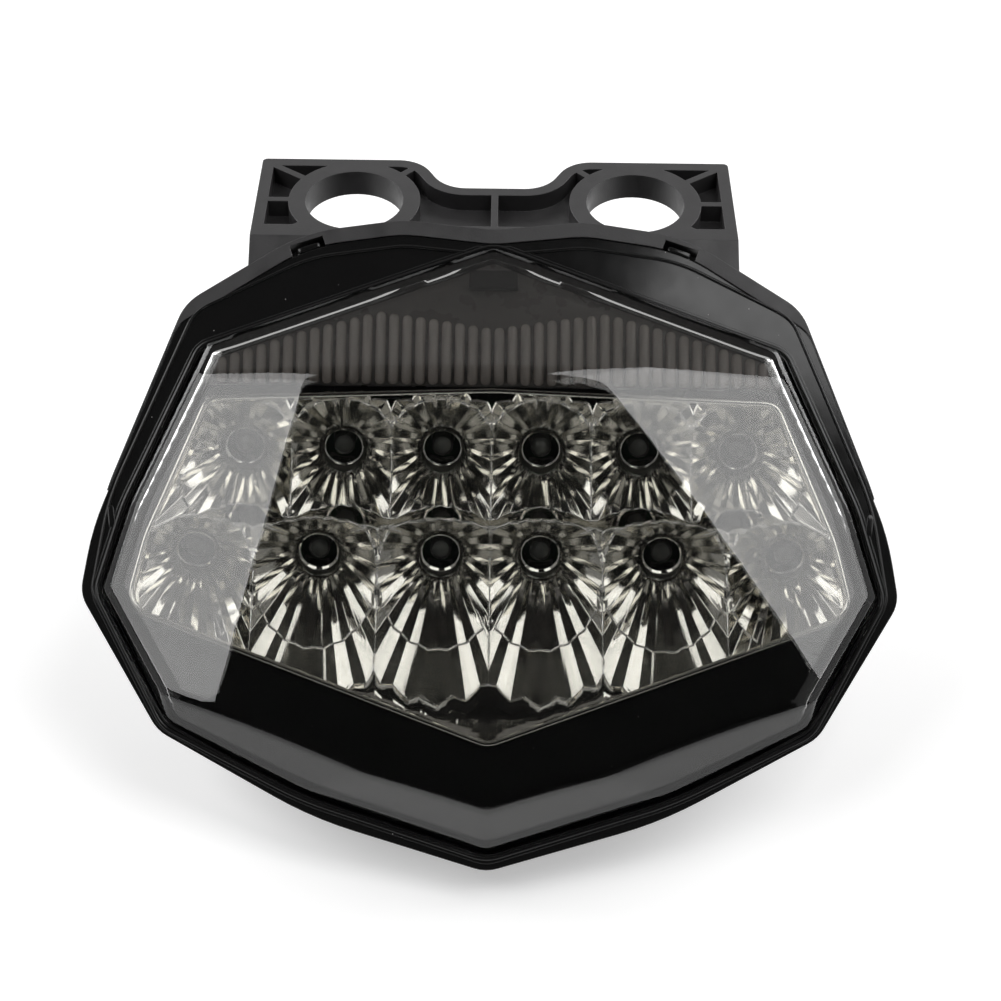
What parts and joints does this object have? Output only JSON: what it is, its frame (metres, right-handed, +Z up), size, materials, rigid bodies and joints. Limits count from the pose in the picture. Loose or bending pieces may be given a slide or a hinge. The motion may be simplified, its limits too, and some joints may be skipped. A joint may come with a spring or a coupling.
{
  "type": "motorcycle tail light",
  "caption": "Smoked LED tail light with a stepped chrome reflector in a black housing, hung by two grommet bores in a ribbed bracket.",
  "frame": {"origin": "midway between the axes of the two mounting bores, on the top face of their bosses", "axes": "+Z up along the bores, +X across the lamp, -Y towards the lens"},
  "size_m": [0.1814, 0.1486, 0.0942],
  "materials": {
    "housing": "moulded, fine grain",
    "surround": "gloss",
    "lens": "smoked, polished",
    "seal": "soft",
    "reflector": "vacuum metallised",
    "lower_trim": "gloss",
    "fluted_trim": "satin",
    "clip": "satin",
    "rubber": "matte",
    "vent": "matte",
    "screws": "zinc plated",
    "wire": "insulation",
    "board": "solder mask",
    "components": "moulded",
    "led": "clear epoxy"
  },
  "bodies": {
    "root": {"rear_housing": "housing", "lens_surround": "surround", "outer_lens": "lens", "lens_seal": "seal", "reflector": "reflector", "lower_trim": "lower_trim", "fluted_trim": "fluted_trim", "centre_clip": "clip", "cable_gland": "rubber", "breather_plug": "vent", "reflector_screws": "screws", "board_screws": "screws", "board_link_wires": "wire", "upper_led_board": "board", "lower_led_board": "board", "upper_resistors": "components", "lower_resistors": "components", "polarity_diodes": "components", "switch_transistors": "components", "upper_led_1": "led", "upper_led_2": "led", "upper_led_3": "led", "upper_led_4": "led", "upper_led_5": "led", "upper_led_6": "led", "lower_led_1": "led", "lower_led_2": "led", "lower_led_3": "led", "lower_led_4": "led", "lower_led_5": "led", "lower_led_6": "led"}
  },
  "joints": []
}
